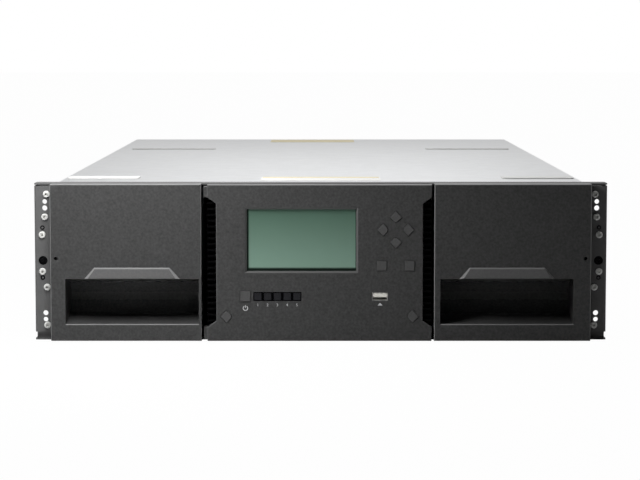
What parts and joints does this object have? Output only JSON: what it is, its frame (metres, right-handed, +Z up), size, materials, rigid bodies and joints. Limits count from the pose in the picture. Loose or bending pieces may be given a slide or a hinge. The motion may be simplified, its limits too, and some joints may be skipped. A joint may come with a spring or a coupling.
{
  "type": "data tape library",
  "caption": "Rack-mounted data tape library: steel body with rack ears, sliding tape magazines with finger pockets, operator panel with screen and keys, inner robot and rear modules.",
  "frame": {"origin": "middle of the underside", "axes": "+Z up, front toward -Y, +X to the right seen from the front"},
  "size_m": [0.4826, 0.873, 0.133],
  "materials": {
    "steel": "zinc-plated sheet",
    "dark_steel": "fine powder coat",
    "nickel": "satin nickel",
    "black_steel": "black oxide",
    "bezel_plastic": "fine grain",
    "key_plastic": "fine grain",
    "black_plastic": "matte",
    "screen_glass": "clear",
    "screen": "unlit liquid crystal",
    "board": "solder mask",
    "window": "smoked",
    "lens": "diffusing",
    "magazine_plastic": "moulded",
    "robot_plastic": "moulded",
    "aluminium": "milled",
    "pad_plastic": "white moulded"
  },
  "bodies": {
    "chassis": {"bay_covers": "steel", "controller": "steel", "drive_bay_walls": "steel", "floor_pan": "steel", "front_bottom_rail": "dark_steel", "front_top_rail": "dark_steel", "left_rack_ear": "dark_steel", "left_side_wall": "steel", "magazine_rails": "black_plastic", "panel_back_plate": "steel", "panel_bezel": "bezel_plastic", "panel_board": "board", "rack_screws": "black_steel", "rear_frame": "steel", "right_rack_ear": "dark_steel", "right_side_wall": "steel", "robot_rails": "steel", "screen_glass": "screen_glass", "screen_module": "screen", "stacking_pads": "pad_plastic", "status_lenses": "lens", "status_window": "window", "supply_shelf": "steel", "top_cover": "steel", "usb_socket": "nickel", "vent_grilles": "black_plastic"},
    "up_key": {"up_key": "key_plastic"},
    "down_key": {"down_key": "key_plastic"},
    "left_key": {"left_key": "key_plastic"},
    "right_key": {"right_key": "key_plastic"},
    "back_key": {"back_key": "key_plastic"},
    "enter_key": {"enter_key": "key_plastic"},
    "power_key": {"power_key": "key_plastic"},
    "left_release_key": {"left_release_key": "key_plastic"},
    "right_release_key": {"right_release_key": "key_plastic"},
    "left_magazine": {"left_magazine_bezel": "bezel_plastic", "left_magazine_base": "magazine_plastic", "left_magazine_wall": "magazine_plastic", "left_magazine_dividers": "magazine_plastic", "left_magazine_ledges": "magazine_plastic"},
    "right_magazine": {"right_magazine_bezel": "bezel_plastic", "right_magazine_base": "magazine_plastic", "right_magazine_wall": "magazine_plastic", "right_magazine_dividers": "magazine_plastic", "right_magazine_ledges": "magazine_plastic"},
    "carriage": {"robot_carriage": "aluminium", "lift_posts": "nickel", "lift_motor": "black_steel"},
    "screw": {"lift_screw": "nickel"},
    "lift": {"lift_platform": "aluminium"},
    "picker": {"picker_table": "robot_plastic"},
    "gripper": {"gripper": "black_plastic"},
    "drive": {"tape_drive": "steel", "drive_sled": "steel"},
    "lower_supply": {"lower_power_supply": "steel", "lower_power_inlet": "black_plastic"},
    "upper_supply": {"upper_power_supply": "steel", "upper_power_inlet": "black_plastic"},
    "lower_fan": {"lower_fan": "black_plastic"},
    "upper_fan": {"upper_fan": "black_plastic"}
  },
  "joints": [
    {"name": "up_key_press", "type": "slide", "parent": "chassis", "child": "up_key", "axis": [0, 1, 0], "range_m": [0, 0.0008], "stiffness_N_per_m": 1500},
    {"name": "down_key_press", "type": "slide", "parent": "chassis", "child": "down_key", "axis": [0, 1, 0], "range_m": [0, 0.0008], "stiffness_N_per_m": 1500},
    {"name": "left_key_press", "type": "slide", "parent": "chassis", "child": "left_key", "axis": [0, 1, 0], "range_m": [0, 0.0008], "stiffness_N_per_m": 1500},
    {"name": "right_key_press", "type": "slide", "parent": "chassis", "child": "right_key", "axis": [0, 1, 0], "range_m": [0, 0.0008], "stiffness_N_per_m": 1500},
    {"name": "back_key_press", "type": "slide", "parent": "chassis", "child": "back_key", "axis": [0, 1, 0], "range_m": [0, 0.0008], "stiffness_N_per_m": 1500},
    {"name": "enter_key_press", "type": "slide", "parent": "chassis", "child": "enter_key", "axis": [0, 1, 0], "range_m": [0, 0.0008], "stiffness_N_per_m": 1500},
    {"name": "power_key_press", "type": "slide", "parent": "chassis", "child": "power_key", "axis": [0, 1, 0], "range_m": [0, 0.0008], "stiffness_N_per_m": 1500},
    {"name": "left_release_key_press", "type": "slide", "parent": "chassis", "child": "left_release_key", "axis": [0, 1, 0], "range_m": [0, 0.0008], "stiffness_N_per_m": 1500},
    {"name": "right_release_key_press", "type": "slide", "parent": "chassis", "child": "right_release_key", "axis": [0, 1, 0], "range_m": [0, 0.0008], "stiffness_N_per_m": 1500},
    {"name": "left_magazine_slide", "type": "slide", "parent": "chassis", "child": "left_magazine", "axis": [0, -1, 0], "range_m": [0, 0.44]},
    {"name": "right_magazine_slide", "type": "slide", "parent": "chassis", "child": "right_magazine", "axis": [0, -1, 0], "range_m": [0, 0.44]},
    {"name": "carriage_travel", "type": "slide", "parent": "chassis", "child": "carriage", "axis": [0, 1, 0], "range_m": [0, 0.4007]},
    {"name": "lift_rise", "type": "slide", "parent": "carriage", "child": "lift", "axis": [0, 0, 1], "range_m": [0, 0.0949]},
    {"name": "screw_turn", "type": "hinge", "parent": "carriage", "child": "screw", "pos_m": [-0.072, -0.2607, 0.06], "axis": [0, 0, 1], "continuous": true},
    {"name": "picker_turn", "type": "hinge", "parent": "lift", "child": "picker", "pos_m": [0, -0.3267, 0.006], "axis": [0, 0, 1], "range_deg": [-90, 90]},
    {"name": "gripper_reach", "type": "slide", "parent": "picker", "child": "gripper", "axis": [0, 1, 0], "range_m": [0, 0.136]},
    {"name": "drive_pull", "type": "slide", "parent": "chassis", "child": "drive", "axis": [0, 1, 0], "range_m": [0, 0.25]},
    {"name": "lower_supply_pull", "type": "slide", "parent": "chassis", "child": "lower_supply", "axis": [0, 1, 0], "range_m": [0, 0.21]},
    {"name": "lower_fan_turn", "type": "hinge", "parent": "lower_supply", "child": "lower_fan", "pos_m": [-0.1235, 0.4005, 0.03127], "axis": [0, 1, 0], "continuous": true},
    {"name": "upper_supply_pull", "type": "slide", "parent": "chassis", "child": "upper_supply", "axis": [0, 1, 0], "range_m": [0, 0.21]},
    {"name": "upper_fan_turn", "type": "hinge", "parent": "upper_supply", "child": "upper_fan", "pos_m": [-0.1235, 0.4005, 0.09632], "axis": [0, 1, 0], "continuous": true}
  ],
  "couplings": [
    {"joint": "screw_turn", "follows": "lift_rise", "rad_per_m": 314.16}
  ]
}
